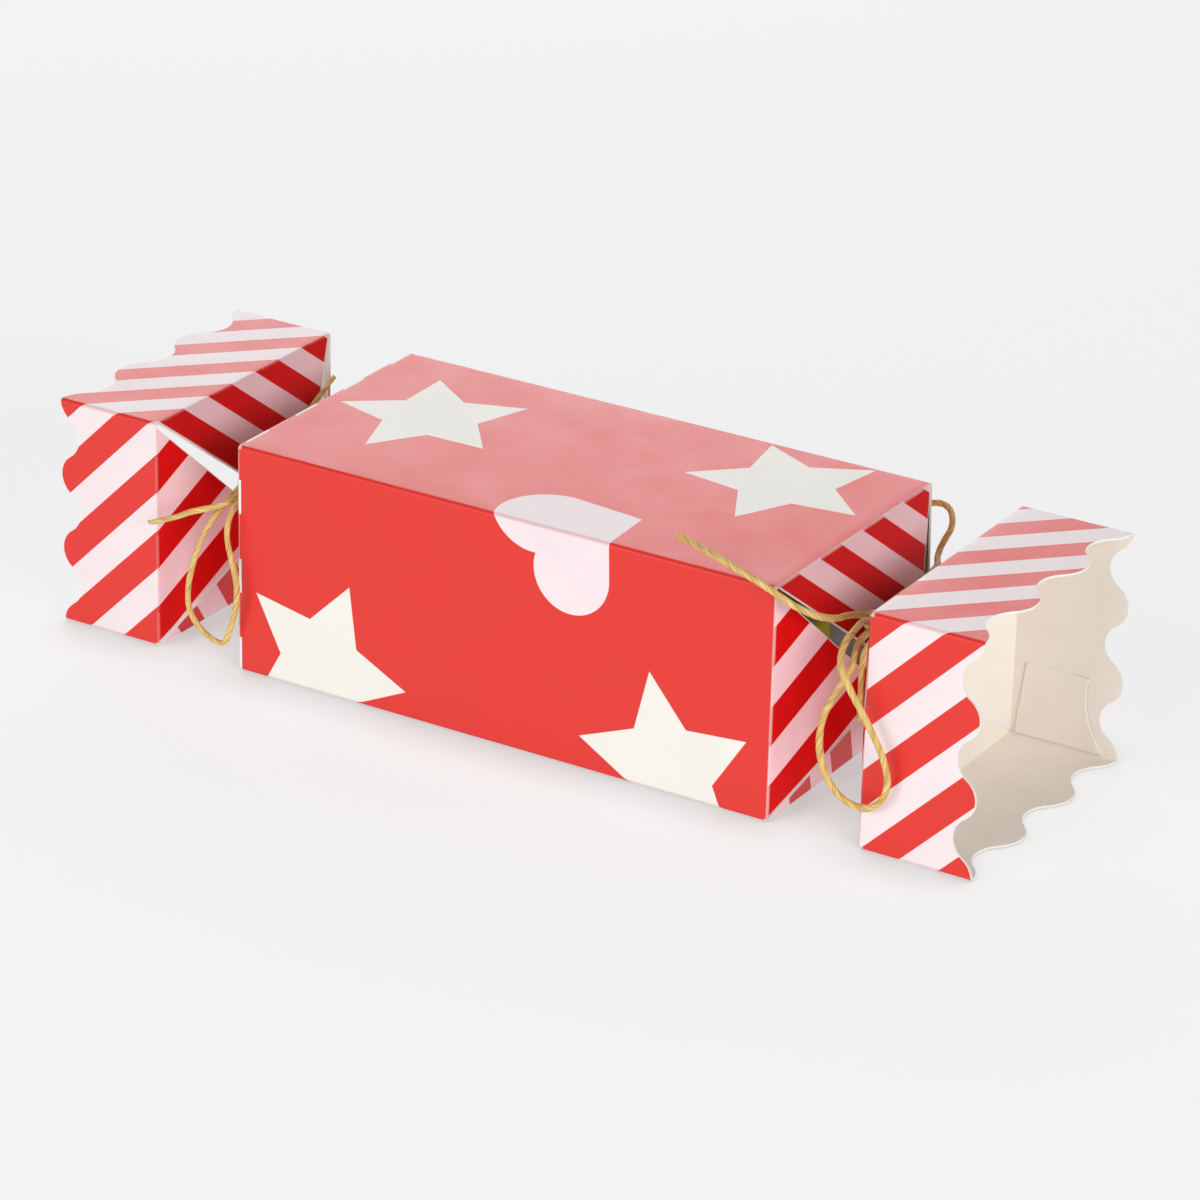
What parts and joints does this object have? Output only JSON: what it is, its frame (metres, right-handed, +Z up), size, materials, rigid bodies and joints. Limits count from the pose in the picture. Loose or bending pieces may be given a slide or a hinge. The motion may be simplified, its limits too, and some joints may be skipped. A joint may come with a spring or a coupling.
{
  "type": "christmas cracker",
  "caption": "Cracker-shaped folding carton of sweets: a red printed box with two pinched striped necks tied in paper twine and wavy open ends; each neck unfolds straight to open it.",
  "frame": {"origin": "middle of the bottom face, on the surface that the carton stands on", "axes": "+X along the tube to the right-hand end in the picture, +Y from front to back, +Z up"},
  "size_m": [0.258, 0.0907, 0.0655],
  "materials": {
    "red_board": "satin varnished red print, bare cream inside",
    "striped_board": "satin varnished red and pale pink diagonal stripes, bare cream inside",
    "bare_board": "unprinted cream board",
    "paper_twine": "twisted golden tan paper twine",
    "clear_film": "clear film",
    "strawberry_candy": "boiled sweet",
    "orange_candy": "boiled sweet",
    "lemon_candy": "boiled sweet",
    "apple_candy": "boiled sweet"
  },
  "bodies": {
    "carton": {"body_front_panel": "red_board", "body_top_panel": "red_board", "body_back_panel": "red_board", "body_bottom_panel": "red_board", "body_glue_flap": "bare_board", "sweet_pouch": "clear_film", "strawberry_sweets": "strawberry_candy", "orange_sweets": "orange_candy", "lemon_sweets": "lemon_candy", "apple_sweets": "apple_candy"},
    "left_end": {"left_end_front_panel": "striped_board", "left_end_top_panel": "striped_board", "left_end_back_panel": "striped_board", "left_end_bottom_panel": "striped_board", "left_end_glue_flap": "bare_board"},
    "left_front_inner": {"left_front_inner_flap": "striped_board"},
    "left_front_outer": {"left_front_outer_flap": "striped_board"},
    "left_top_inner": {"left_top_inner_flap": "striped_board"},
    "left_top_outer": {"left_top_outer_flap": "striped_board"},
    "left_back_inner": {"left_back_inner_flap": "striped_board"},
    "left_back_outer": {"left_back_outer_flap": "striped_board"},
    "left_bottom_inner": {"left_bottom_inner_flap": "striped_board"},
    "left_bottom_outer": {"left_bottom_outer_flap": "striped_board"},
    "left_tie": {"left_tie_wrap": "paper_twine", "left_tie_knot": "paper_twine", "left_tie_front_loop": "paper_twine", "left_tie_back_loop": "paper_twine", "left_tie_front_tail": "paper_twine", "left_tie_back_tail": "paper_twine"},
    "right_end": {"right_end_front_panel": "striped_board", "right_end_top_panel": "striped_board", "right_end_back_panel": "striped_board", "right_end_bottom_panel": "striped_board", "right_end_glue_flap": "bare_board"},
    "right_front_inner": {"right_front_inner_flap": "striped_board"},
    "right_front_outer": {"right_front_outer_flap": "striped_board"},
    "right_top_inner": {"right_top_inner_flap": "striped_board"},
    "right_top_outer": {"right_top_outer_flap": "striped_board"},
    "right_back_inner": {"right_back_inner_flap": "striped_board"},
    "right_back_outer": {"right_back_outer_flap": "striped_board"},
    "right_bottom_inner": {"right_bottom_inner_flap": "striped_board"},
    "right_bottom_outer": {"right_bottom_outer_flap": "striped_board"},
    "right_tie": {"right_tie_wrap": "paper_twine", "right_tie_knot": "paper_twine", "right_tie_front_loop": "paper_twine", "right_tie_back_loop": "paper_twine", "right_tie_front_tail": "paper_twine", "right_tie_back_tail": "paper_twine"}
  },
  "joints": [
    {"name": "left_neck_open", "type": "hinge", "parent": "carton", "child": "left_bottom_inner", "pos_m": [-0.075, 0, 0.00025], "axis": [0, -1, 0], "range_deg": [0, 61.2]},
    {"name": "left_bottom_waist_fold", "type": "hinge", "parent": "left_bottom_inner", "child": "left_bottom_outer", "pos_m": [-0.0875, 0, 0.02305], "axis": [0, 1, 0], "range_deg": [0, 122.4]},
    {"name": "left_end_crease", "type": "hinge", "parent": "left_bottom_outer", "child": "left_end", "pos_m": [-0.1, 0, 0.00025], "axis": [0, -1, 0], "range_deg": [0, 61.2]},
    {"name": "left_front_inner_crease", "type": "hinge", "parent": "carton", "child": "left_front_inner", "pos_m": [-0.075, -0.03775, 0.03], "axis": [0, 0, 1], "range_deg": [0, 61.2]},
    {"name": "left_front_outer_crease", "type": "hinge", "parent": "left_end", "child": "left_front_outer", "pos_m": [-0.1, -0.03775, 0.03], "axis": [0, 0, -1], "range_deg": [0, 61.2]},
    {"name": "left_top_inner_crease", "type": "hinge", "parent": "carton", "child": "left_top_inner", "pos_m": [-0.075, 0, 0.05975], "axis": [0, 1, 0], "range_deg": [0, 61.2]},
    {"name": "left_top_outer_crease", "type": "hinge", "parent": "left_end", "child": "left_top_outer", "pos_m": [-0.1, 0, 0.05975], "axis": [0, -1, 0], "range_deg": [0, 61.2]},
    {"name": "left_back_inner_crease", "type": "hinge", "parent": "carton", "child": "left_back_inner", "pos_m": [-0.075, 0.03775, 0.03], "axis": [0, 0, -1], "range_deg": [0, 61.2]},
    {"name": "left_back_outer_crease", "type": "hinge", "parent": "left_end", "child": "left_back_outer", "pos_m": [-0.1, 0.03775, 0.03], "axis": [0, 0, 1], "range_deg": [0, 61.2]},
    {"name": "left_tie_off", "type": "slide", "parent": "carton", "child": "left_tie", "axis": [0, 0, 1], "range_m": [0, 0.0415], "deforming": ["left_tie_wrap", "left_tie_knot", "left_tie_front_loop", "left_tie_back_loop", "left_tie_front_tail", "left_tie_back_tail"]},
    {"name": "right_neck_open", "type": "hinge", "parent": "carton", "child": "right_bottom_inner", "pos_m": [0.075, 0, 0.00025], "axis": [0, 1, 0], "range_deg": [0, 61.2]},
    {"name": "right_bottom_waist_fold", "type": "hinge", "parent": "right_bottom_inner", "child": "right_bottom_outer", "pos_m": [0.0875, 0, 0.02305], "axis": [0, -1, 0], "range_deg": [0, 122.4]},
    {"name": "right_end_crease", "type": "hinge", "parent": "right_bottom_outer", "child": "right_end", "pos_m": [0.1, 0, 0.00025], "axis": [0, 1, 0], "range_deg": [0, 61.2]},
    {"name": "right_front_inner_crease", "type": "hinge", "parent": "carton", "child": "right_front_inner", "pos_m": [0.075, -0.03775, 0.03], "axis": [0, 0, -1], "range_deg": [0, 61.2]},
    {"name": "right_front_outer_crease", "type": "hinge", "parent": "right_end", "child": "right_front_outer", "pos_m": [0.1, -0.03775, 0.03], "axis": [0, 0, 1], "range_deg": [0, 61.2]},
    {"name": "right_top_inner_crease", "type": "hinge", "parent": "carton", "child": "right_top_inner", "pos_m": [0.075, 0, 0.05975], "axis": [0, -1, 0], "range_deg": [0, 61.2]},
    {"name": "right_top_outer_crease", "type": "hinge", "parent": "right_end", "child": "right_top_outer", "pos_m": [0.1, 0, 0.05975], "axis": [0, 1, 0], "range_deg": [0, 61.2]},
    {"name": "right_back_inner_crease", "type": "hinge", "parent": "carton", "child": "right_back_inner", "pos_m": [0.075, 0.03775, 0.03], "axis": [0, 0, 1], "range_deg": [0, 61.2]},
    {"name": "right_back_outer_crease", "type": "hinge", "parent": "right_end", "child": "right_back_outer", "pos_m": [0.1, 0.03775, 0.03], "axis": [0, 0, -1], "range_deg": [0, 61.2]},
    {"name": "right_tie_off", "type": "slide", "parent": "carton", "child": "right_tie", "axis": [0, 0, 1], "range_m": [0, 0.0415], "deforming": ["right_tie_wrap", "right_tie_knot", "right_tie_front_loop", "right_tie_back_loop", "right_tie_front_tail", "right_tie_back_tail"]}
  ],
  "couplings": [
    {"joint": "left_bottom_waist_fold", "follows": "left_neck_open", "ratio": 2},
    {"joint": "left_end_crease", "follows": "left_neck_open", "ratio": 1},
    {"joint": "left_front_inner_crease", "follows": "left_neck_open", "ratio": 1},
    {"joint": "left_front_outer_crease", "follows": "left_neck_open", "ratio": 1},
    {"joint": "left_top_inner_crease", "follows": "left_neck_open", "ratio": 1},
    {"joint": "left_top_outer_crease", "follows": "left_neck_open", "ratio": 1},
    {"joint": "left_back_inner_crease", "follows": "left_neck_open", "ratio": 1},
    {"joint": "left_back_outer_crease", "follows": "left_neck_open", "ratio": 1},
    {"joint": "left_tie_off", "follows": "left_neck_open", "m_per_rad": 0.0388},
    {"joint": "right_bottom_waist_fold", "follows": "right_neck_open", "ratio": 2},
    {"joint": "right_end_crease", "follows": "right_neck_open", "ratio": 1},
    {"joint": "right_front_inner_crease", "follows": "right_neck_open", "ratio": 1},
    {"joint": "right_front_outer_crease", "follows": "right_neck_open", "ratio": 1},
    {"joint": "right_top_inner_crease", "follows": "right_neck_open", "ratio": 1},
    {"joint": "right_top_outer_crease", "follows": "right_neck_open", "ratio": 1},
    {"joint": "right_back_inner_crease", "follows": "right_neck_open", "ratio": 1},
    {"joint": "right_back_outer_crease", "follows": "right_neck_open", "ratio": 1},
    {"joint": "right_tie_off", "follows": "right_neck_open", "m_per_rad": 0.0388}
  ]
}
